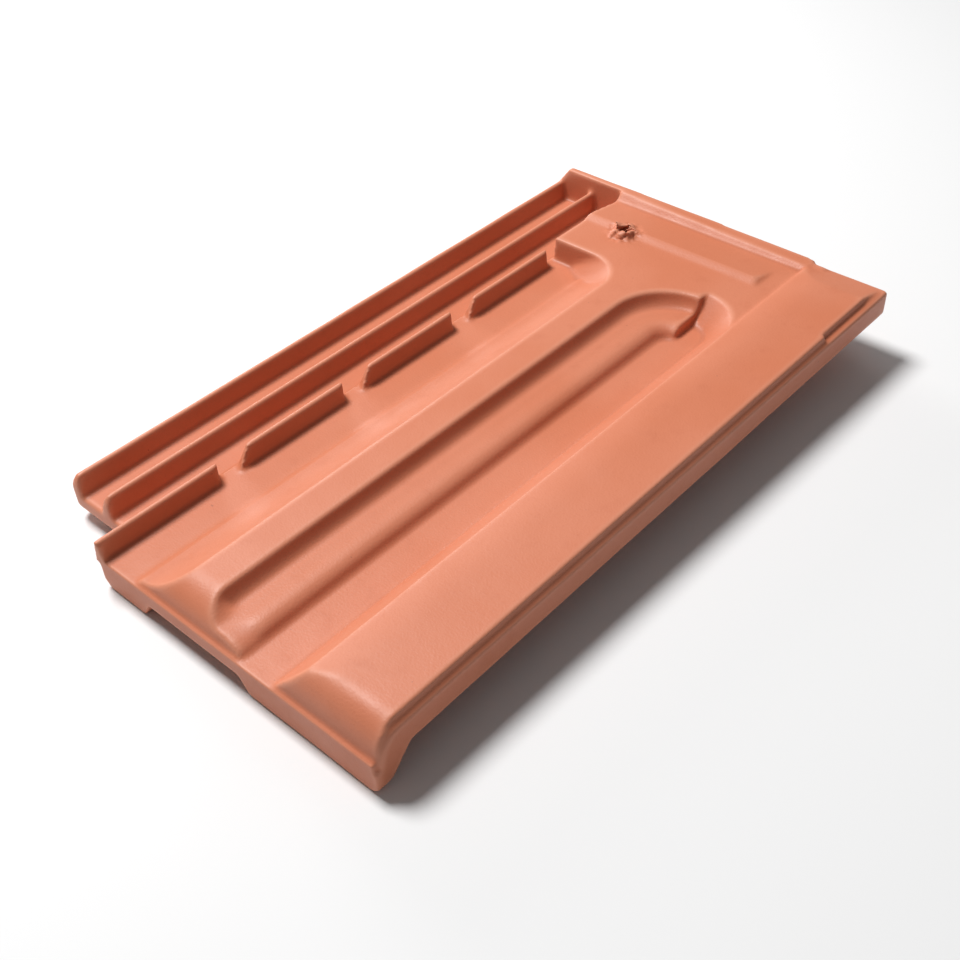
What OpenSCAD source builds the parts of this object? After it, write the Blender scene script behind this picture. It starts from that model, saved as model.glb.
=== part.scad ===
// Pressed clay interlocking roof tile, one fired piece.
// The tile is drawn with x from the left interlock edge to the right cover edge, y from the
// tail to the head, and z = 0 on the floor of the pans. It is then laid on its tail lip and nibs.

/* [Overall] */
// Length from tail to head
tile_l = 413; // [400:1:430]
// Clay under the floor of the pans
pan_t = 11; // [9:0.5:11.5]
// Clay left over the hollows of the underside
wall_t = 9; // [8:0.5:10]

/* [Side interlock] */
// Depth of the interlock floor below the pan floor
shelf_drop = 3; // [2:0.5:3.5]
// Clay under the interlock floor
shelf_t = 8.5; // [7:0.5:8.5]
// Length by which the interlock stops short of the tail
shelf_setback = 21; // [18:1:28]
// Radius of the interlock's free corner
shelf_corner_r = 5; // [3:1:10]
// Top of the two outer ribs above the pan floor
rib_top = 8.5; // [6:0.5:9]
// Width of a rib at its top
rib_w = 2.6; // [2:0.1:3.5]
// Sideways run of a rib's drafted face
rib_draft = 3; // [2:0.1:5]
// Sideways run of the outer face of the edge rib
edge_draft = 4; // [2:0.1:6]
// Spacing of the ribs
rib_pitch = 25; // [23:0.5:26]
// Top of the broken inner rib above the pan floor
weir_top = 11; // [8:0.5:13]
// Spacing of the drain notches in the broken rib
notch_pitch = 85.5; // [82:0.5:87]
// Distance from the tail to the first drain notch
notch_first = 78.5; // [72:0.5:80]
// Width of a drain notch at its floor
notch_w = 10; // [8:1:14]
// Run of the drafted side of a drain notch
notch_run = 6; // [3:1:8]
// Turn of a drain notch from the rib's cross direction
notch_angle = 35; // [20:1:45]

/* [Relief] */
// Width of the flat floor of the left pan
pan_w = 20; // [16:1:24]
// Height of the centre roll and the head plateau
roll_h = 14; // [12:0.5:15]
// Sideways run of the roll's left slope
roll_run = 28; // [24:1:32]
// Sideways run of the small step at the foot of the roll
foot_run = 4; // [3:0.5:6]
// Height of that small step
foot_h = 2; // [1:0.25:3]
// Width of the roll's flat top
roll_w = 19; // [16:1:24]
// Height of the roll's right shoulder
shoulder_h = 6; // [4:0.5:8]
// Run from the roll's crest down to the shoulder
shoulder_in = 11; // [8:0.5:13]
// Run from the shoulder down to the right pan
shoulder_out = 16; // [14:0.5:19]
// Width of the flat floor of the right pan
valley_w = 21; // [18:0.5:24]
// Height of the cover panel
panel_h = 17.5; // [16:0.5:19]
// Sideways run of the panel's left slope
panel_run = 15.5; // [13:0.5:18]
// Width of the panel's top
panel_w = 46.9; // [40:0.1:54]
// Width of the gentle crown along the panel's left side
crown_l = 18; // [12:1:24]
// Drop of that crown at the panel's left edge
crown_d = 2.2; // [1:0.1:3]
// Step between the panel's edge and the side wall
panel_step = 1; // [0.5:0.1:1.5]
// Height of that step
panel_step_h = 4; // [3:0.5:5]
// Extra setback of the panel's edge near the head
panel_jog = 2.4; // [1:0.1:3]
// Length of that setback from the head
panel_jog_l = 67; // [55:1:75]
// Length of the rounded tail nose
nose_l = 14; // [10:1:16]
// Ledge in front of the nose
nose_ledge = 2.5; // [1:0.5:4]

/* [Head] */
// Distance from the head to the end of the pans
plateau_l = 74; // [70:1:78]
// Radius of the scooped corner at the end of the left pan
scoop_r = 23; // [18:1:26]
// Run of the end wall of the left pan
scoop_run = 2; // [1:0.5:4]
// Width of that wall's foot on the pan floor
end_w = 5; // [3:0.5:8]
// Run of the scoop above the foot of the roll
toe_run = 12; // [9:0.5:14]
// Reach of the scoop into the roll's slope
toe_in = 10; // [8:0.5:12]
// Distance from the shoulder's foot to the pocket at the end of the right pan
pocket_in = 7; // [5:0.5:10]
// Length by which that pocket reaches past the left pan
pocket_l = 8; // [5:0.5:9]
// Distance from the head to the transverse ridge
ridge_back = 46; // [44:1:50]
// Run of the ridge's front slope
ridge_run = 6; // [5:0.5:9]
// Height of the ridge over the plateau
ridge_h = 2.25; // [1:0.25:3]
// Gap between the end of the ridge and the cover panel
ridge_gap = 16; // [12:1:20]
// Depth of the channel behind the ridge, below the plateau
channel_d = 1.5; // [1:0.25:2.5]
// Height of the upstand at the head
upstand_h = 18; // [16:0.5:19.5]
// Fall of the upstand's top towards the cover panel
upstand_fall = 3; // [1:0.25:3.5]
// Sideways run of the upstand's left end above the edge rib
upstand_end = 7; // [4:0.5:9]
// Length of the tab at the upstand's right end
tab_l = 9; // [6:1:12]
// Width of the upstand at its top
upstand_w = 6.5; // [6:0.5:9]
// Run of the upstand's front face over the interlock
upstand_run = 1; // [0.5:0.5:3]
// Run of the upstand's bevel over the plateau
upstand_bevel = 6.5; // [5:0.5:8]
// Edge break on the upstand and the weir
edge_break = 2.5; // [1:0.5:3]
// Length by which the panel stops short of the head
panel_short = 1; // [1:1:6]
// Length of the sloped end of the cover panel
panel_slope_l = 23; // [18:1:26]
// Drop of the sloped end of the cover panel
panel_slope_d = 4.5; // [3:0.5:5]
// Radius of the panel's free corner
panel_corner_r = 3; // [2:1:8]
// Diameter of the nail hole
nail_d = 6.5; // [5:0.5:8]
// Distance from the left edge to the nail hole
nail_x = 84; // [80:1:88]
// Distance from the head to the nail hole
nail_back = 44; // [43:1:48]
// Width of the boss round the nail hole
boss_w = 19; // [16:0.5:21]
// Height of the boss over the plateau
boss_h = 4; // [3:0.5:5]

/* [Underside] */
// Depth of the tail lip below the pan floor
lip_d = 18; // [16:0.5:20]
// Length of the tail lip along the tile
lip_l = 14; // [11:1:17]
// Depth of the tail under the arch of the roll
arch_d = 9; // [8:0.5:10.5]
// Sideways run of the arch's ends
arch_run = 6; // [4:1:9]
// Bevel of the lip's outer bottom corners
lip_bevel = 4; // [2:0.5:6]
// Reach of the batten nibs below the pan floor
nib_d = 26; // [23:0.5:30]
// Width of a batten nib
nib_w = 26; // [20:1:34]
// Length of a batten nib along the tile
nib_l = 14; // [12:1:18]
// Sideways run of a nib's drafted faces
nib_draft = 3; // [1:0.5:4]
// Sideways spacing of the batten nibs
nib_pitch = 84; // [76:1:90]
// Distance from the head to the front face of the nibs
nib_back = 38; // [34:1:40]
// Bottom of the side wall against the pan floor
side_wall_z = -1; // [-2.5:0.5:1]
// Thickness of the side wall
side_wall_t = 6; // [5:0.5:7]
// Clearance round the next tile's ribs
rib_gap = 1.2; // [0.8:0.1:1.6]
// Length of the side lip at the tail
side_lip_l = 6; // [4:1:8]
// Length over which the side wall sinks to the tail lip
side_sweep = 15; // [12:1:20]

/* [Hidden] */
$fn = 64;
clay = [0.83, 0.50, 0.38];
over = 1;
sky = 60;
steps = 8;
pocket_turn = 92;

shelf_z = -shelf_drop;
rib_1_x = edge_draft + rib_w / 2;
rib_2_x = rib_1_x + rib_pitch;
weir_x = rib_2_x + rib_pitch;
lip_x0 = weir_x - rib_w / 2;
pan_x0 = weir_x + rib_w / 2 + rib_draft;
pan_x1 = pan_x0 + pan_w;
roll_x0 = pan_x1 + roll_run;
roll_x1 = roll_x0 + roll_w;
shoulder_x = roll_x1 + shoulder_in;
valley_x0 = shoulder_x + shoulder_out;
valley_x1 = valley_x0 + valley_w;
panel_x0 = valley_x1 + panel_run;
panel_x1 = panel_x0 + panel_w;
tile_w = panel_x1 + panel_step;
step_z = panel_h - panel_step_h;
panel_edge_z = panel_h - crown_d;
plateau_x1 = valley_x1 + panel_run * roll_h / panel_edge_z;
pocket_x = valley_x0 + pocket_in;
scoop_x = roll_x0 - scoop_r;
ridge_x1 = plateau_x1 - ridge_gap;
arch_x0 = pan_x1 + wall_t / 2;
arch_x1 = valley_x0 + wall_t / 2;

pans_end = tile_l - plateau_l;
head_y = pans_end + wall_t;
ridge_y = tile_l - ridge_back;
ridge_top_y = ridge_y + ridge_run;
channel_y = tile_l - upstand_w - upstand_bevel;
upstand_y = tile_l - upstand_w - upstand_run;
panel_l = tile_l - panel_short;
channel_z = roll_h - channel_d;
ridge_z = roll_h + ridge_h;
nib_y = tile_l - nib_back;
nib_mid_x = (pan_x1 + valley_x1) / 2;
head_ceiling = channel_z - wall_t;

cover_w = tile_w - side_wall_t - rib_gap - (rib_2_x + rib_w / 2 + rib_draft);
rest_pitch = atan((nib_d - lip_d) / nib_y);

// Slopes as lists of [run, height], all from the low end to the high end
function hollow_slope(run, rise, power) =
    [for (i = [0 : steps]) let (t = i / steps) [run * t, rise * pow(t, power)]];
function round_slope(run, rise) =
    [for (i = [0 : steps]) let (a = 90 * i / steps) [run * (1 - cos(a)), rise * sin(a)]];
function moved(points, dx, dy) = [for (p = points) [p.x + dx, p.y + dy]];

roll_left = concat([[0, 0]],
    moved(hollow_slope(roll_run - foot_run, roll_h - foot_h, 1.6), foot_run, foot_h));
roll_right = concat(
    round_slope(shoulder_out, shoulder_h),
    moved(hollow_slope(shoulder_in, roll_h - shoulder_h, 1.6), shoulder_out, shoulder_h));
nose_curve = round_slope(nose_l, panel_h);
panel_crown = [for (i = [0 : steps]) let (t = i / steps)
    [panel_x0 + crown_l * t, panel_h - crown_d * pow(1 - t, 2)]];

// Extrudes an x-z outline along the tile
module along_y(y0, y1) {
    translate([0, y1, 0]) rotate([90, 0, 0]) linear_extrude(y1 - y0) children();
}

// Extrudes a y-z outline across the tile
module along_x(x0, x1) {
    translate([x0, 0, 0]) rotate([90, 0, 90]) linear_extrude(x1 - x0) children();
}

// Drafted rib outline, standing on z0, with its own run on each side
module rib_outline(x, z0, z1, run_left, run_right) {
    polygon([
        [x - rib_w / 2 - run_left, z0], [x - rib_w / 2, z1],
        [x + rib_w / 2, z1], [x + rib_w / 2 + run_right, z0]]);
}

// Interlock floor on the left with its two ribs
module shelf() {
    intersection() {
        along_y(shelf_setback, tile_l) union() {
            translate([0, shelf_z - shelf_t]) square([weir_x, shelf_t]);
            rib_outline(rib_1_x, shelf_z, rib_top, edge_draft, rib_draft);
            rib_outline(rib_2_x, shelf_z, rib_top, rib_draft, rib_draft);
        }
        translate([0, 0, -sky]) linear_extrude(2 * sky) union() {
            translate([0, shelf_setback + shelf_corner_r]) square([tile_w, tile_l]);
            translate([shelf_corner_r, 0]) square([tile_w, tile_l]);
            translate([shelf_corner_r, shelf_setback + shelf_corner_r]) circle(shelf_corner_r);
        }
    }
}

// Broken rib between interlock and pan, cut by slanting drain notches
module weir() {
    difference() {
        along_y(0, tile_l - upstand_w)
            rib_outline(weir_x, shelf_z, weir_top, rib_draft, rib_draft);
        for (y = [notch_first : notch_pitch : pans_end])
            translate([weir_x, y, 0]) rotate([0, 0, -notch_angle])
                along_x(-rib_pitch / 2, rib_pitch / 2) polygon([
                    [-notch_w / 2, 0], [notch_w / 2, 0],
                    [notch_w / 2 + notch_run * sky / weir_top, sky], [-notch_w / 2, sky]]);
    }
}

// Left pan, closed under the plateau by an end wall that opens into a scooped corner
module left_pan() {
    x = weir_x - rib_pitch;
    y = pans_end - scoop_r;
    toe_x = pan_x1 + toe_in;
    foot = [
        [x - over, y - over], [x - over, pans_end - scoop_run], [pan_x0 + end_w, pans_end - scoop_run],
        [pan_x1, pans_end - toe_run], [toe_x, y], [toe_x, y - over]];
    rim = concat([[x - over, y - over], [x - over, pans_end]],
        [for (i = [0 : steps]) let (a = 90 - 90 * i / steps)
            [scoop_x + scoop_r * cos(a), y + scoop_r * sin(a)]],
        [[roll_x0 + over, y - over]]);
    intersection() {
        along_y(-over, tile_l) polygon(concat(
            [[x, sky], [x, 0]], moved(roll_left, pan_x1, 0), [[roll_x0, sky]]));
        union() {
            along_y(-2 * over, y) translate([x - over, -over]) square([roll_x0 - x + 2 * over, 2 * sky]);
            hull() {
                translate([0, 0, -over]) linear_extrude(over) polygon(foot);
                translate([0, 0, roll_h]) linear_extrude(sky) polygon(rim);
            }
        }
    }
}

// Right pan, with a rounded arch at the end of the shoulder and a pocket at the end of the floor
module right_pan() {
    reach = pocket_x - roll_x1;
    arch_y = pans_end - reach;
    arch = concat(moved(roll_right, pocket_in, 0), [[reach, sky]]);
    translate([pocket_x, 0]) mirror([1, 0, 0]) along_y(-over, arch_y)
        polygon(concat([[-over, sky], [-over, 0]], arch));
    translate([pocket_x, arch_y, 0]) rotate([0, 0, 90]) rotate_extrude(angle = 90)
        polygon(concat([[0, sky], [0, 0]], arch));
    floor_r = valley_x1 - pocket_x;
    pocket_y = pans_end + pocket_l - floor_r - panel_run;
    bank = [[floor_r, 0], [floor_r + panel_run, panel_edge_z], [floor_r + panel_run, sky], [0, sky], [0, 0]];
    translate([pocket_x, 0]) along_y(-over, pocket_y) polygon(bank);
    translate([pocket_x, pocket_y, 0]) rotate_extrude(angle = pocket_turn) polygon(bank);
}

// Slab of the tile up to the plateau, with the cover panel beside it
module body() {
    along_y(lip_l - over, tile_l) polygon([
        [lip_x0, -pan_t], [lip_x0, roll_h], [plateau_x1, roll_h], [plateau_x1, -pan_t]]);
    along_y(lip_l - over, panel_l) polygon([
        [plateau_x1, -lip_d], [plateau_x1, 0], [tile_w, 0], [tile_w, -lip_d + lip_bevel],
        [tile_w - lip_bevel, -lip_d]]);
    along_y(0, panel_l) polygon(concat([
        [lip_x0, -over], [lip_x0, roll_h], [plateau_x1, roll_h]], panel_crown, [
        [panel_x1, panel_h], [panel_x1, step_z], [tile_w, step_z], [tile_w, -over]]));
    along_y(0, lip_l) polygon([
        [lip_x0, 0], [lip_x0, -lip_d + lip_bevel], [lip_x0 + lip_bevel, -lip_d],
        [arch_x0, -lip_d], [arch_x0 + arch_run, -arch_d], [arch_x1 - arch_run, -arch_d],
        [arch_x1, -lip_d], [tile_w - lip_bevel, -lip_d], [tile_w, -lip_d + lip_bevel],
        [tile_w, 0]]);
}

// Low ridge across the plateau, tapered at its right end
module ridge() {
    intersection() {
        along_x(lip_x0, plateau_x1) polygon([
            [ridge_y - ridge_run / ridge_h, roll_h - over], [ridge_top_y, ridge_z],
            [channel_y, ridge_z], [channel_y, roll_h - over]]);
        along_y(ridge_y - ridge_run, tile_l) polygon([
            [lip_x0, -over], [lip_x0, ridge_z + over], [ridge_x1, ridge_z + over],
            [ridge_x1 + ridge_run, roll_h - over], [ridge_x1 + ridge_run, -over]]);
    }
}

// Channel that falls from the ridge to the foot of the upstand
module channel() {
    along_x(weir_x - rib_pitch, plateau_x1) polygon([
        [ridge_top_y, ridge_z], [channel_y, channel_z],
        [tile_l + over, channel_z], [tile_l + over, sky], [ridge_top_y, sky]]);
}

// Weather bar along the head, with a bevel over the plateau and a tab over the cover panel
module upstand() {
    x1 = panel_x0 + tab_l;
    intersection() {
        union() {
            along_x(0, panel_x0) polygon([
                [upstand_y, shelf_z - shelf_t], [upstand_y, shelf_z],
                [tile_l - upstand_w, upstand_h], [tile_l - edge_break, upstand_h],
                [tile_l, upstand_h - edge_break], [tile_l, shelf_z - shelf_t]]);
            along_x(lip_x0, panel_x0) polygon([
                [channel_y, channel_z], [tile_l - upstand_w, upstand_h],
                [tile_l - edge_break, upstand_h], [tile_l - edge_break, channel_z]]);
            along_x(panel_x0 - over, x1) translate([tile_l - upstand_w, step_z - panel_step_h])
                square([upstand_w - panel_short - edge_break, sky]);
        }
        along_y(0, tile_l + over) polygon([
            [0, -sky], [0, shelf_z], [edge_draft, rib_top], [edge_draft + upstand_end, upstand_h],
            [x1, upstand_h - upstand_fall], [x1, -sky]]);
    }
}

// Everything above the rounded tail nose of roll and panel
module nose_cut() {
    along_x(pan_x1, tile_w + over) polygon(concat(
        [[-over, 0], [nose_ledge, 0]], moved(nose_curve, nose_ledge, 0),
        [[nose_ledge + nose_l, sky], [-over, sky]]));
}

// Sloped head end, corner and set-back edge of the cover panel
module panel_cuts() {
    along_x(panel_x0, tile_w + over) polygon([
        [panel_l - panel_slope_l, panel_h], [panel_l, panel_h - panel_slope_d],
        [panel_l, sky], [panel_l - panel_slope_l, sky]]);
    along_y(panel_l - panel_jog_l, panel_l)
        translate([panel_x1 - panel_jog, step_z]) square([tile_w, sky]);
    translate([tile_w - panel_corner_r, panel_l - panel_corner_r, -sky])
        linear_extrude(2 * sky) difference() {
            square(2 * panel_corner_r);
            circle(panel_corner_r);
        }
}

// Boss round the nail hole
module boss() {
    translate([nail_x, tile_l - nail_back, 0]) rotate_extrude() polygon([
        [0, head_ceiling], [boss_w / 2, head_ceiling], [boss_w / 2, channel_z],
        [boss_w / 4 + nail_d / 4, roll_h + boss_h], [0, roll_h + boss_h]]);
}

// Batten nibs under the head
module nibs() {
    for (side = [-1, 1])
        along_y(nib_y, nib_y + nib_l) translate([nib_mid_x + side * nib_pitch / 2, 0]) polygon([
            [-nib_w / 2, head_ceiling + over], [-nib_w / 2 + nib_draft, -nib_d],
            [nib_w / 2 - nib_draft, -nib_d], [nib_w / 2, head_ceiling + over]]);
}

// Hollow under the roll and the plateau
module roll_hollow() {
    top = roll_h - wall_t;
    along_y(lip_l, head_y + over) polygon([
        [pan_x1 + wall_t, -sky], [pan_x1 + wall_t, -pan_t], [roll_x0 + wall_t / 3, top],
        [roll_x1 - wall_t / 3, top], [shoulder_x, shoulder_h - wall_t],
        [valley_x0 - wall_t, -pan_t], [valley_x0 - wall_t, -sky]]);
    translate([pan_x0, head_y, -sky])
        cube([valley_x1 - pan_x0, nib_y + nib_l + wall_t - head_y, sky + head_ceiling]);
}

// Grooves under the panel that take the next tile's ribs, and the raised side wall
module panel_hollow() {
    rail = valley_x1 + wall_t / 2;
    for (x = [rib_1_x, rib_2_x] + [cover_w, cover_w])
        along_y(lip_l, tile_l + over) polygon([
            [x - rib_w / 2 - rib_draft - rib_gap, -sky], [x - rib_w / 2 - rib_draft - rib_gap, 0],
            [x - rib_w / 2 - rib_gap, rib_top + rib_gap], [x + rib_w / 2 + rib_gap, rib_top + rib_gap],
            [x + rib_w / 2 + rib_draft + rib_gap, 0], [x + rib_w / 2 + rib_draft + rib_gap, -sky]]);
    along_x(rail, tile_w + over) polygon([
        [side_lip_l, -lip_d], [side_lip_l + side_sweep, side_wall_z],
        [tile_l + over, side_wall_z], [tile_l + over, -sky], [side_lip_l, -sky]]);
}

// The whole tile, still lying on the plane of its pans
module tile() {
    difference() {
        union() {
            difference() {
                union() {
                    body();
                    ridge();
                }
                left_pan();
                right_pan();
                channel();
                nose_cut();
                panel_cuts();
                roll_hollow();
                panel_hollow();
            }
            shelf();
            weir();
            upstand();
            boss();
            nibs();
        }
        translate([nail_x, tile_l - nail_back, -sky]) cylinder(d = nail_d, h = 2 * sky);
    }
}

// Laid down on the tail lip and the batten nibs
module roof_tile() {
    color(clay)
        translate([-tile_w / 2, -tile_l / 2, lip_d * cos(rest_pitch)])
            rotate([rest_pitch, 0, 0]) tile();
}

roof_tile();
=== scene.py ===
# %% [markdown]
# A pressed clay roof tile
# This lesson dresses one fired clay tile. Its exact shape comes from a CAD model, and Blender adds
# what the press, the drying rack and the kiln leave on the real thing: softened edges, a slightly
# uneven skin and a matt, mottled colour.

# %% Load the fixed frame
import math

import bmesh
import bpy
from mathutils import Matrix, Vector


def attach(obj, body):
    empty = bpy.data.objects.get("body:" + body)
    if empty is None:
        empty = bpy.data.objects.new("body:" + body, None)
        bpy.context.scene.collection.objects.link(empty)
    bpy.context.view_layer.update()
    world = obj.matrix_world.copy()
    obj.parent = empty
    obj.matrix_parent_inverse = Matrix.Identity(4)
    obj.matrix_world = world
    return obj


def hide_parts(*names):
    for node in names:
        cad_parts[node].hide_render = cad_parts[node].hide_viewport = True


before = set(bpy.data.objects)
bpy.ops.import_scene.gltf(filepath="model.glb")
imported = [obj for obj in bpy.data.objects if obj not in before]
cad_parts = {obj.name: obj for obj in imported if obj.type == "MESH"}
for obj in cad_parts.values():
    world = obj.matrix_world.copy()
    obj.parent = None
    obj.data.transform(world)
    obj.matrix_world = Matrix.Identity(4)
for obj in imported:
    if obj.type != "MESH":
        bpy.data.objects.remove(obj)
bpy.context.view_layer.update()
tile_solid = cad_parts["roof_tile"]

# %% [markdown]
# The tile lies on its tail lip and on the two nibs under its head, so its pans lean by a little
# over one degree. Modelling is easier in the tile's own frame, where the pans are level and every
# rib runs along Y. One matrix takes a mesh from that frame to where the tile lies, and its inverse
# takes it back.

# %% The tile's own frame
MM = 0.001
TILE_W = 238 * MM
TILE_L = 413 * MM
LIP_DEPTH = 18 * MM
NIB_DEPTH = 26 * MM
NIB_Y = 375 * MM

rest_pitch = math.atan((NIB_DEPTH - LIP_DEPTH) / NIB_Y)
lift = Vector((-TILE_W / 2, -TILE_L / 2, LIP_DEPTH * math.cos(rest_pitch)))
tile_to_floor = Matrix.Translation(lift) @ Matrix.Rotation(rest_pitch, 4, "X")
floor_to_tile = tile_to_floor.inverted()
print("the tile leans by", round(math.degrees(rest_pitch), 2), "degrees")

# %% [markdown]
# Materials and shapes below are both node trees. A few helpers keep their code short: each adds one
# kind of node, plugs in sockets or plain numbers, and returns the output, so that calls can be nested
# like ordinary functions.


# %% Helpers for node trees
def add_node(tree, kind, **settings):
    node = tree.nodes.new(kind)
    for name, value in settings.items():
        setattr(node, name, value)
    return node


def set_inputs(node, **values):
    for name, value in values.items():
        node.inputs[name.replace("_", " ")].default_value = value
    return node


def plug(tree, value, socket):
    if isinstance(value, (int, float, tuple)):
        socket.default_value = value
    else:
        tree.links.new(value, socket)


def math_of(tree, operation, *values):
    node = add_node(tree, "ShaderNodeMath", operation=operation)
    for socket, value in zip(node.inputs, values):
        plug(tree, value, socket)
    return node.outputs[0]


def product_of(tree, first, *factors):
    product = first
    for factor in factors:
        product = math_of(tree, "MULTIPLY", product, factor)
    return product


def ramp_of(tree, value, low, high, shape="SMOOTHSTEP"):
    node = add_node(tree, "ShaderNodeMapRange", interpolation_type=shape)
    plug(tree, low, node.inputs["From Min"])
    plug(tree, high, node.inputs["From Max"])
    tree.links.new(value, node.inputs["Value"])
    return node.outputs["Result"]


def parts_of(tree, vector):
    node = add_node(tree, "ShaderNodeSeparateXYZ")
    tree.links.new(vector, node.inputs[0])
    return node.outputs


def vector_of(tree, operation, first, second, output="Vector"):
    node = add_node(tree, "ShaderNodeVectorMath", operation=operation)
    plug(tree, first, node.inputs[0])
    plug(tree, second, node.inputs[1])
    return node.outputs[output]


def stretched(tree, vector, factor):
    node = add_node(tree, "ShaderNodeVectorMath", operation="SCALE")
    plug(tree, vector, node.inputs[0])
    plug(tree, factor, node.inputs["Scale"])
    return node.outputs["Vector"]


def add_noise(tree, scale, detail):
    node = add_node(tree, "ShaderNodeTexNoise")
    plug(tree, scale, node.inputs["Scale"])
    plug(tree, detail, node.inputs["Detail"])
    return node


# %% [markdown]
# Fired clay is matt and never one flat colour. The kiln leaves broad cloudy patches, and the clay body
# has a fine sandy grain with a few dark iron specks. Each of these is a noise of its own size, read in
# Object coordinates so that it stays on the tile. The convex edges are painted paler, partly as rubbed
# wear and partly as a painted highlight, and the creases are painted darker as painted shade. Both
# follow an attribute, ridge, that is measured on the mesh later. The layers are laid over each other
# like washes of paint: each has a pattern, the range of the pattern over which it fades in, its full
# share, and a colour.

# %% Fired clay
CLAY_BASE = (0.58, 0.180, 0.090, 1)
CLAY_PALE = (0.61, 0.205, 0.112, 1)
CLAY_DEEP = (0.50, 0.141, 0.065, 1)
# Painted highlight, partly rubbed wear: the colour of the paler convex edges.
CLAY_RUBBED_AND_HIGHLIT = (0.70, 0.30, 0.19, 1)
CLAY_SPECK = (0.30, 0.10, 0.06, 1)
# Painted shade: the colour of the darker creases.
CLAY_CREASE_SHADE = (0.33, 0.085, 0.038, 1)

CLOUD_SCALE = 14.0
BLOTCH_SCALE = 70.0
GRAIN_SCALE = 900.0
SPECK_SCALE = 380.0
BLOTCH_ROUGHNESS = 0.6

SMOOTHEST = 0.36
ROUGHEST = 0.58
SPECULAR = 0.36
GRAIN_RELIEF = 0.5
BLOTCH_RELIEF = 0.8
BUMP_STRENGTH = 0.35
BUMP_DEPTH = 0.6 * MM


def pattern_of(tree, place, scale, detail):
    node = add_noise(tree, scale, detail)
    tree.links.new(place, node.inputs["Vector"])
    return node


def mix_of(tree, amount, first, second):
    node = add_node(tree, "ShaderNodeMix", data_type="RGBA")
    tree.links.new(amount, node.inputs["Factor"])
    plug(tree, first, node.inputs[6])
    plug(tree, second, node.inputs[7])
    return node.outputs[2]


def make_fired_clay():
    material = bpy.data.materials.new("fired_clay")
    material.use_nodes = True
    tree = material.node_tree
    shader = tree.nodes["Principled BSDF"]
    place = add_node(tree, "ShaderNodeTexCoord").outputs["Object"]
    ridge = add_node(tree, "ShaderNodeAttribute", attribute_name="ridge").outputs["Fac"]

    clouds = pattern_of(tree, place, CLOUD_SCALE, 2.0).outputs["Fac"]
    blotch_node = pattern_of(tree, place, BLOTCH_SCALE, 4.0)
    set_inputs(blotch_node, Roughness=BLOTCH_ROUGHNESS)
    blotches = blotch_node.outputs["Fac"]
    grain = pattern_of(tree, place, GRAIN_SCALE, 2.0).outputs["Fac"]
    specks = pattern_of(tree, place, SPECK_SCALE, 1.0).outputs["Fac"]

    layers = (
        (clouds, 0.35, 0.70, 1.0, CLAY_PALE),
        (blotches, 0.52, 0.80, 0.35, CLAY_DEEP),
        (grain, 0.55, 0.75, 0.22, CLAY_DEEP),
        (specks, 0.80, 0.84, 0.60, CLAY_SPECK),
        # Painted highlight, partly rubbed wear: convex edges turn paler.
        (ridge, 0.10, 0.60, 0.40, CLAY_RUBBED_AND_HIGHLIT),
        # Painted shade: concave creases turn darker.
        (ridge, -0.25, -0.90, 0.45, CLAY_CREASE_SHADE),
    )
    colour = CLAY_BASE
    for pattern, start, full, share, paint in layers:
        amount = product_of(tree, ramp_of(tree, pattern, start, full), share)
        colour = mix_of(tree, amount, colour, paint)
    tree.links.new(colour, shader.inputs["Base Color"])

    roughness = add_node(tree, "ShaderNodeMapRange")
    set_inputs(roughness, To_Min=SMOOTHEST, To_Max=ROUGHEST)
    tree.links.new(blotches, roughness.inputs["Value"])
    tree.links.new(roughness.outputs["Result"], shader.inputs["Roughness"])
    set_inputs(shader, Specular_IOR_Level=SPECULAR)

    height = math_of(tree, "ADD", product_of(tree, grain, GRAIN_RELIEF),
                     product_of(tree, blotches, BLOTCH_RELIEF))
    bump = add_node(tree, "ShaderNodeBump")
    set_inputs(bump, Strength=BUMP_STRENGTH, Distance=BUMP_DEPTH)
    tree.links.new(height, bump.inputs["Height"])
    tree.links.new(bump.outputs["Normal"], shader.inputs["Normal"])
    return material


fired_clay = make_fired_clay()
print("material made:", fired_clay.name, "with", len(fired_clay.node_tree.nodes), "nodes")

# %% [markdown]
# The CAD solid has knife-sharp edges, but a plaster mould gives clay edges that are rounded by one
# or two millimetres. A bevel on every edge would fail where slopes run out into each other. Instead
# the solid is turned into a fine even skin, which Geometry Nodes trees then carve, trim and soften.
# Each tree gets its sizes as named inputs, so one table of sizes makes the inputs and sets them.

# %% Copy the solid into the tile's own frame
VOXEL = 0.95 * MM
WELD = 0.01 * MM


def copy_of_solid():
    shape = bmesh.new()
    shape.from_mesh(tile_solid.data)
    bmesh.ops.remove_doubles(shape, verts=shape.verts, dist=WELD)
    mesh = bpy.data.meshes.new("clay_blank")
    shape.to_mesh(mesh)
    shape.free()
    mesh.transform(floor_to_tile)
    blank = bpy.data.objects.new("clay_blank", mesh)
    bpy.context.scene.collection.objects.link(blank)
    return blank


def add_even_skin(blank):
    remesh = blank.modifiers.new("even_skin", "REMESH")
    remesh.mode = "VOXEL"
    remesh.voxel_size = VOXEL


def socket_kind(value):
    if isinstance(value, bpy.types.Material):
        return "NodeSocketMaterial"
    if isinstance(value, tuple):
        return "NodeSocketVector"
    if isinstance(value, int):
        return "NodeSocketInt"
    return "NodeSocketFloat"


def make_tree(name, sizes):
    tree = bpy.data.node_groups.new(name, "GeometryNodeTree")
    tree.interface.new_socket(name="Skin", in_out="INPUT", socket_type="NodeSocketGeometry")
    for input_name, value in sizes.items():
        tree.interface.new_socket(name=input_name, in_out="INPUT", socket_type=socket_kind(value))
    tree.interface.new_socket(name="Tile", in_out="OUTPUT", socket_type="NodeSocketGeometry")
    return tree, add_node(tree, "NodeGroupInput"), add_node(tree, "NodeGroupOutput")


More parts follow.
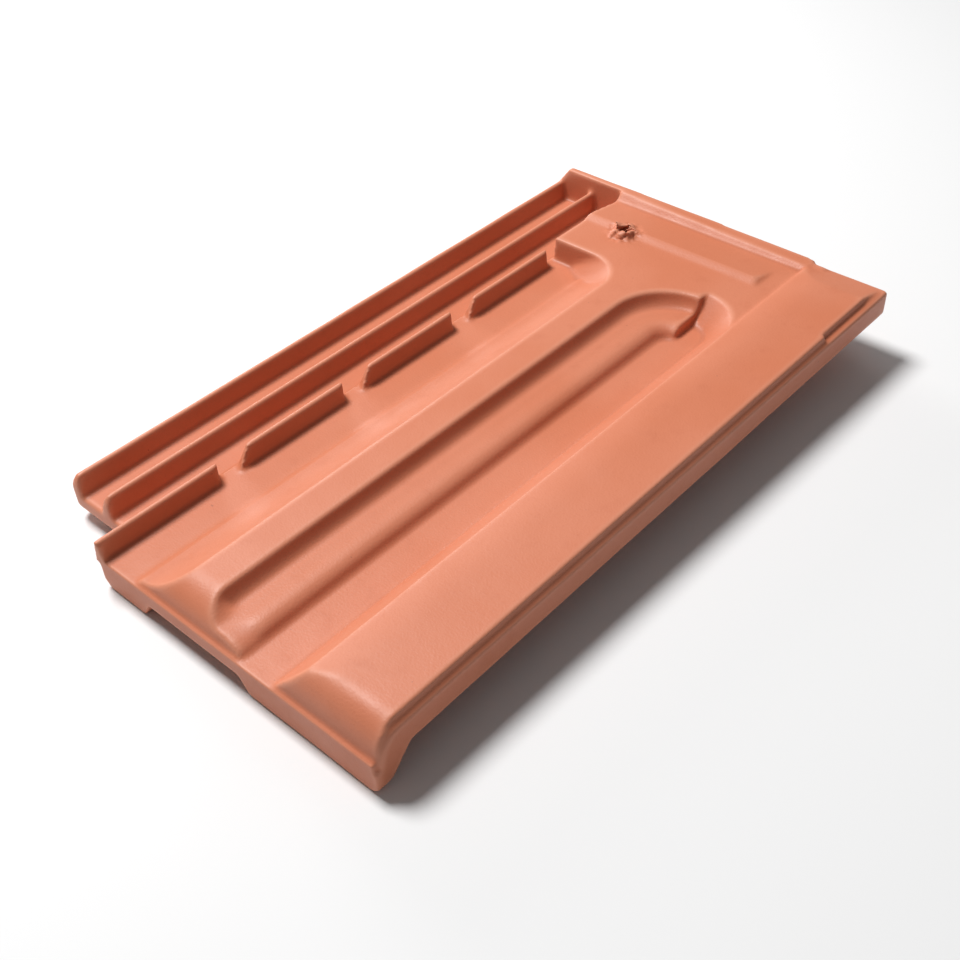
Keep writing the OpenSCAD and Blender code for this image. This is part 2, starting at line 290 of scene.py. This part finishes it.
def add_tree(blank, tree, sizes):
    modifier = blank.modifiers.new(tree.name, "NODES")
    modifier.node_group = tree
    for item in tree.interface.items_tree:
        if item.in_out == "INPUT" and item.name in sizes:
            modifier[item.identifier] = sizes[item.name]


def move_skin(tree, given, made, **shifts):
    shift = add_node(tree, "ShaderNodeCombineXYZ")
    for axis, value in shifts.items():
        tree.links.new(value, shift.inputs[axis])
    move = add_node(tree, "GeometryNodeSetPosition")
    tree.links.new(given.outputs["Skin"], move.inputs["Geometry"])
    tree.links.new(shift.outputs[0], move.inputs["Offset"])
    tree.links.new(move.outputs[0], made.inputs[0])


clay_blank = copy_of_solid()
add_even_skin(clay_blank)
print("clay blank has", len(clay_blank.data.vertices), "corners before the even skin")

# %% [markdown]
# The roll's right side is hollower than one smooth slope. The mould leaves a steep wall right under
# the crest and a fuller shoulder below it, along the right pan and round its end. Both follow the
# distance from an axis: a line along the pan that stops where the bend begins. The tree lowers the
# skin under the crest and raises it on the shoulder, each by a bump in that distance. The bump
# t * t * (1 - t) peaks at 4 / 27, so the inverse of that makes its peak one. The floor of the pan, the
# underside and everything right of the axis keep their places.

# %% The tree that carves the roll
BUMP_FACTOR = 27 / 4
LEAST_UPWARD = -0.3
FLOOR_FADE = (1 * MM, 3 * MM)
AXIS_FADE = (2 * MM, 0.5 * MM)

carving_sizes = {
    "Bend": (160.6 * MM, 305 * MM, 0.0),
    "Shoulder": 23 * MM,
    "Crest": 34 * MM,
    "Hollow": 3.0 * MM,
    "Hollow Start": 10 * MM,
    "Hollow Full": 20 * MM,
    "Foot": 7 * MM,
    "Rise": 1.2 * MM,
}


def bump_of(tree, value, low, high, height):
    share = ramp_of(tree, value, low, high, "LINEAR")
    rest = math_of(tree, "SUBTRACT", 1.0, share)
    return product_of(tree, math_of(tree, "POWER", share, 2.0), rest, BUMP_FACTOR, height)


def make_carving_tree():
    tree, given, made = make_tree("carve_roll", carving_sizes)
    size = given.outputs
    x, y, z = parts_of(tree, add_node(tree, "GeometryNodeInputPosition").outputs[0])
    bend_x, bend_y, _ = parts_of(tree, size["Bend"])
    across = math_of(tree, "MAXIMUM", math_of(tree, "SUBTRACT", bend_x, x), 0.0)
    along = math_of(tree, "MAXIMUM", math_of(tree, "SUBTRACT", y, bend_y), 0.0)
    distance = math_of(tree, "SQRT", math_of(tree, "ADD", math_of(tree, "POWER", across, 2.0),
                                             math_of(tree, "POWER", along, 2.0)))

    begun = ramp_of(tree, y, size["Hollow Start"], size["Hollow Full"])
    hollow = bump_of(tree, distance, size["Shoulder"], size["Crest"], size["Hollow"])
    rise = bump_of(tree, distance, size["Shoulder"], size["Foot"], size["Rise"])
    fall = product_of(tree, begun, math_of(tree, "SUBTRACT", hollow, rise))

    normal_z = parts_of(tree, add_node(tree, "GeometryNodeInputNormal").outputs[0])[2]
    upper = math_of(tree, "GREATER_THAN", normal_z, LEAST_UPWARD)
    raised = ramp_of(tree, z, *FLOOR_FADE)
    left = ramp_of(tree, math_of(tree, "SUBTRACT", x, bend_x), *AXIS_FADE)
    move_skin(tree, given, made, Z=product_of(tree, fall, left, upper, raised, -1.0))
    return tree


carve_roll = make_carving_tree()
add_tree(clay_blank, carve_roll, carving_sizes)
print("carving tree has", len(carve_roll.nodes), "nodes")

# %% [markdown]
# Three more places are softer on the real tile than on the solid. At the tail the interlock ribs sink
# into their floor in a quarter round, and the roll's nose is longer and rounder than the panel's. The
# cover panel's edge stands back behind the side wall, along the panel and down its nose, which leaves
# a fine dark groove. All three follow a quarter ellipse along Y, so one helper serves them. A second
# even skin then takes the trimmed places up.

# %% The tree that trims the edges
STEP_FADE = (0.5 * MM, -0.5 * MM)
EDGE_FADE = (4.5 * MM, 1.5 * MM)

trimming_sizes = {
    "Rib Start": 21 * MM,
    "Rib Round": 5 * MM,
    "Rib Height": 11.5 * MM,
    "Rib Floor": -3 * MM,
    "Interlock Width": 45 * MM,
    "Roll Left": 81 * MM,
    "Roll Right": 158 * MM,
    "Roll Height": 14 * MM,
    "Roll Round": 18 * MM,
    "Nose Start": 2.5 * MM,
    "Nose Length": 14 * MM,
    "Panel Height": 17.5 * MM,
    "Panel Edge": 237 * MM,
    "Step Height": 4 * MM,
    "Step Depth": 1.8 * MM,
}


def dome_of(tree, value, start, run, height):
    share = ramp_of(tree, value, start, math_of(tree, "ADD", start, run), "LINEAR")
    rest = math_of(tree, "POWER", math_of(tree, "SUBTRACT", 1.0, share), 2.0)
    return product_of(tree, math_of(tree, "SQRT", math_of(tree, "SUBTRACT", 1.0, rest)), height)


def excess_over(tree, z, top):
    return math_of(tree, "MAXIMUM", math_of(tree, "SUBTRACT", z, top), 0.0)


def make_trimming_tree():
    tree, given, made = make_tree("trim_edges", trimming_sizes)
    size = given.outputs
    x, y, z = parts_of(tree, add_node(tree, "GeometryNodeInputPosition").outputs[0])

    rib_dome = dome_of(tree, y, size["Rib Start"], size["Rib Round"], size["Rib Height"])
    rib_top = math_of(tree, "ADD", size["Rib Floor"], rib_dome)
    on_ribs = math_of(tree, "LESS_THAN", x, size["Interlock Width"])
    at_tail = math_of(tree, "LESS_THAN", y, math_of(tree, "ADD", size["Rib Start"], size["Rib Round"]))
    rib_drop = product_of(tree, excess_over(tree, z, rib_top), on_ribs, at_tail)

    roll_top = dome_of(tree, y, size["Nose Start"], size["Roll Round"], size["Roll Height"])
    right_of = math_of(tree, "GREATER_THAN", x, size["Roll Left"])
    left_of = math_of(tree, "LESS_THAN", x, size["Roll Right"])
    at_nose = math_of(tree, "LESS_THAN", y, math_of(tree, "ADD", size["Nose Start"], size["Roll Round"]))
    roll_drop = product_of(tree, excess_over(tree, z, roll_top), right_of, left_of, at_nose)

    panel_top = dome_of(tree, y, size["Nose Start"], size["Nose Length"], size["Panel Height"])
    depth = math_of(tree, "SUBTRACT", panel_top, z)
    in_step = ramp_of(tree, math_of(tree, "SUBTRACT", depth, size["Step Height"]), *STEP_FADE)
    at_edge = ramp_of(tree, math_of(tree, "SUBTRACT", size["Panel Edge"], x), *EDGE_FADE)
    pull = product_of(tree, size["Step Depth"], in_step, at_edge)

    drop = math_of(tree, "ADD", rib_drop, roll_drop)
    move_skin(tree, given, made, X=product_of(tree, pull, -1.0), Z=product_of(tree, drop, -1.0))
    return tree


trim_edges = make_trimming_tree()
add_tree(clay_blank, trim_edges, trimming_sizes)
add_even_skin(clay_blank)
print("trimming tree has", len(trim_edges.nodes), "nodes")

# %% [markdown]
# The last tree softens the clay. It first measures how far each point stands out from its blurred
# surroundings and keeps that as the attribute ridge, which the clay uses for a painted highlight on
# the convex edges and painted shade in the creases. Then it blurs the positions, which rounds edges and
# creases alike and leaves flat clay alone, and lets the skin wander by a fraction of a millimetre, as
# hand-set clay does while it dries. The boss of the nail hole is pierced while the clay is soft, which
# tears it, so a coarse noise that fades with the distance from the hole pushes the boss about.

# %% The tree that softens the clay
NAIL_TOP = (84 * MM, 369 * MM, 18 * MM)
NOISE_MIDDLE = 0.5

softening_sizes = {
    "Rounding Passes": 3,
    "Ridge Passes": 26,
    "Ridge Height": 1.0 * MM,
    "Wander": 0.5 * MM,
    "Wander Scale": 22.0,
    "Burr Centre": NAIL_TOP,
    "Burr Radius": 15.0 * MM,
    "Burr Depth": 14.0 * MM,
    "Burr Scale": 230.0,
    "Clay": fired_clay,
}


def blurred(tree, value, passes):
    node = add_node(tree, "GeometryNodeBlurAttribute", data_type="FLOAT_VECTOR")
    tree.links.new(value, node.inputs["Value"])
    tree.links.new(passes, node.inputs["Iterations"])
    return node.outputs[0]


def make_softening_tree():
    tree, given, made = make_tree("soften_clay", softening_sizes)
    size = given.outputs
    position = add_node(tree, "GeometryNodeInputPosition").outputs[0]
    normal = add_node(tree, "GeometryNodeInputNormal").outputs[0]

    away = vector_of(tree, "SUBTRACT", position, blurred(tree, position, size["Ridge Passes"]))
    outward = vector_of(tree, "DOT_PRODUCT", away, normal, "Value")
    keep = add_node(tree, "GeometryNodeStoreNamedAttribute", data_type="FLOAT", domain="POINT")
    set_inputs(keep, Name="ridge")
    tree.links.new(size["Skin"], keep.inputs["Geometry"])
    tree.links.new(math_of(tree, "DIVIDE", outward, size["Ridge Height"]), keep.inputs["Value"])

    wander = add_noise(tree, size["Wander Scale"], 1.0).outputs["Fac"]
    amount = product_of(tree, math_of(tree, "SUBTRACT", wander, NOISE_MIDDLE), size["Wander"])
    reach = vector_of(tree, "DISTANCE", position, size["Burr Centre"], "Value")
    near = product_of(tree, ramp_of(tree, reach, size["Burr Radius"], 0.0), size["Burr Depth"])
    torn = add_noise(tree, size["Burr Scale"], 2.0).outputs["Color"]
    torn_shift = vector_of(tree, "SUBTRACT", torn, (NOISE_MIDDLE,) * 3)
    offset = vector_of(tree, "ADD", stretched(tree, normal, amount), stretched(tree, torn_shift, near))

    move = add_node(tree, "GeometryNodeSetPosition")
    tree.links.new(keep.outputs[0], move.inputs["Geometry"])
    tree.links.new(blurred(tree, position, size["Rounding Passes"]), move.inputs["Position"])
    tree.links.new(offset, move.inputs["Offset"])
    smooth = add_node(tree, "GeometryNodeSetShadeSmooth")
    tree.links.new(move.outputs[0], smooth.inputs[0])
    real = add_node(tree, "GeometryNodeRealizeInstances")
    tree.links.new(smooth.outputs[0], real.inputs[0])
    paint = add_node(tree, "GeometryNodeSetMaterial")
    tree.links.new(real.outputs[0], paint.inputs["Geometry"])
    tree.links.new(size["Clay"], paint.inputs["Material"])
    tree.links.new(paint.outputs[0], made.inputs[0])
    return tree


soften_clay = make_softening_tree()
add_tree(clay_blank, soften_clay, softening_sizes)
print("softening tree has", len(soften_clay.nodes), "nodes")

# %% [markdown]
# The even skin has far more triangles than the tile needs, so a Decimate modifier keeps a little over
# a quarter of them. The result of all modifiers becomes one plain mesh, goes back to where the tile
# lies, and stands in for the solid.

# %% Run the trees and keep a plain mesh
KEPT_SHARE = 0.28


def plain_tile(blank):
    thin = blank.modifiers.new("thin", "DECIMATE")
    thin.ratio = KEPT_SHARE
    bpy.context.view_layer.update()
    evaluated = blank.evaluated_get(bpy.context.evaluated_depsgraph_get())
    mesh = bpy.data.meshes.new_from_object(evaluated)
    mesh.name = "clay_tile"
    mesh.transform(tile_to_floor)
    tile = bpy.data.objects.new("clay_tile", mesh)
    bpy.context.scene.collection.objects.link(tile)
    blank.modifiers.clear()
    bpy.data.objects.remove(blank)
    return tile


clay_tile = plain_tile(clay_blank)
triangles = sum(len(face.vertices) - 2 for face in clay_tile.data.polygons)
print("clay tile has", triangles, "triangles")
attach(clay_tile, "root")
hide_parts("roof_tile")

# %% [markdown]
# The tile is shown on a plain pale floor. The main light is large and stands high to the left of the
# tile, so that every slope that faces left is bright and the right faces of the ribs fall into warm
# shade. A weaker light, low on the left and a little behind, lays a sheen on the left slopes, and a
# pale surround fills the shade. Places and sizes are in metres, powers in watts.

# %% Floor and light
FLOOR_HALF = 6.0
FLOOR_COLOUR = (0.82, 0.82, 0.82, 1)
FLOOR_ROUGHNESS = 0.9
KEY_PLACE = (-0.95, -0.08, 1.8)
KEY_SIZE = 0.7
KEY_POWER = 51
SHEEN_PLACE = (-1.9, 0.8, 0.6)
SHEEN_SIZE = 1.0
SHEEN_POWER = 12
SURROUND_COLOUR = (1, 1, 1, 1)
SURROUND_STRENGTH = 0.16


def make_floor():
    mesh = bpy.data.meshes.new("floor")
    corners = [(-FLOOR_HALF, -FLOOR_HALF, 0), (FLOOR_HALF, -FLOOR_HALF, 0),
               (FLOOR_HALF, FLOOR_HALF, 0), (-FLOOR_HALF, FLOOR_HALF, 0)]
    mesh.from_pydata(corners, [], [(0, 1, 2, 3)])
    floor = bpy.data.objects.new("floor", mesh)
    bpy.context.scene.collection.objects.link(floor)
    material = bpy.data.materials.new("pale_floor")
    material.use_nodes = True
    shader = material.node_tree.nodes["Principled BSDF"]
    set_inputs(shader, Base_Color=FLOOR_COLOUR, Roughness=FLOOR_ROUGHNESS)
    mesh.materials.append(material)


def make_light(name, place, size, power):
    lamp = bpy.data.lights.new(name, "AREA")
    lamp.shape = "DISK"
    lamp.size = size
    lamp.energy = power
    holder = bpy.data.objects.new(name, lamp)
    holder.location = place
    # The tile lies round the origin, so the way from a lamp to the tile is its place reversed.
    holder.rotation_euler = (-Vector(place)).to_track_quat("-Z", "Y").to_euler()
    bpy.context.scene.collection.objects.link(holder)


def make_surround():
    surround = bpy.data.worlds.new("surround")
    surround.use_nodes = True
    background = surround.node_tree.nodes["Background"]
    set_inputs(background, Color=SURROUND_COLOUR, Strength=SURROUND_STRENGTH)
    bpy.context.scene.world = surround


make_floor()
make_light("left_key", KEY_PLACE, KEY_SIZE, KEY_POWER)
make_light("low_sheen", SHEEN_PLACE, SHEEN_SIZE, SHEEN_POWER)
make_surround()
bpy.context.scene.view_settings.view_transform = "Standard"
print("floor and lights are set")

# %% [markdown]
# The photograph was taken from the right front corner, looking down at about forty degrees. The
# vanishing points of the tile's long edges and cross edges gave a first camera, and a least squares
# fit to points along those edges settled its place and lens.

# %% Camera
VIEW_AZIMUTH = 42.446
VIEW_ELEVATION = 40.547
VIEW_ROLL = -1.380
VIEW_DISTANCE = 0.62943
VIEW_TARGET = Vector((0.029137, -0.043653, 0.012))
FOCAL_PIXELS = 1246.33
IMAGE_PIXELS = 960
SENSOR_MM = 36


def make_camera():
    azimuth = math.radians(VIEW_AZIMUTH)
    elevation = math.radians(VIEW_ELEVATION)
    back = Vector((math.sin(azimuth) * math.cos(elevation), -math.cos(azimuth) * math.cos(elevation),
                   math.sin(elevation)))
    lens = bpy.data.cameras.new("photo_camera")
    lens.sensor_width = SENSOR_MM
    lens.lens = FOCAL_PIXELS / IMAGE_PIXELS * SENSOR_MM
    camera = bpy.data.objects.new("photo_camera", lens)
    turn = (-back).to_track_quat("-Z", "Y").to_matrix().to_4x4()
    roll = Matrix.Rotation(math.radians(VIEW_ROLL), 4, "Z")
    camera.matrix_world = Matrix.Translation(VIEW_TARGET + back * VIEW_DISTANCE) @ turn @ roll
    bpy.context.scene.collection.objects.link(camera)
    bpy.context.scene.camera = camera
    return camera


photo_camera = make_camera()
print("camera at", [round(value, 3) for value in photo_camera.location])
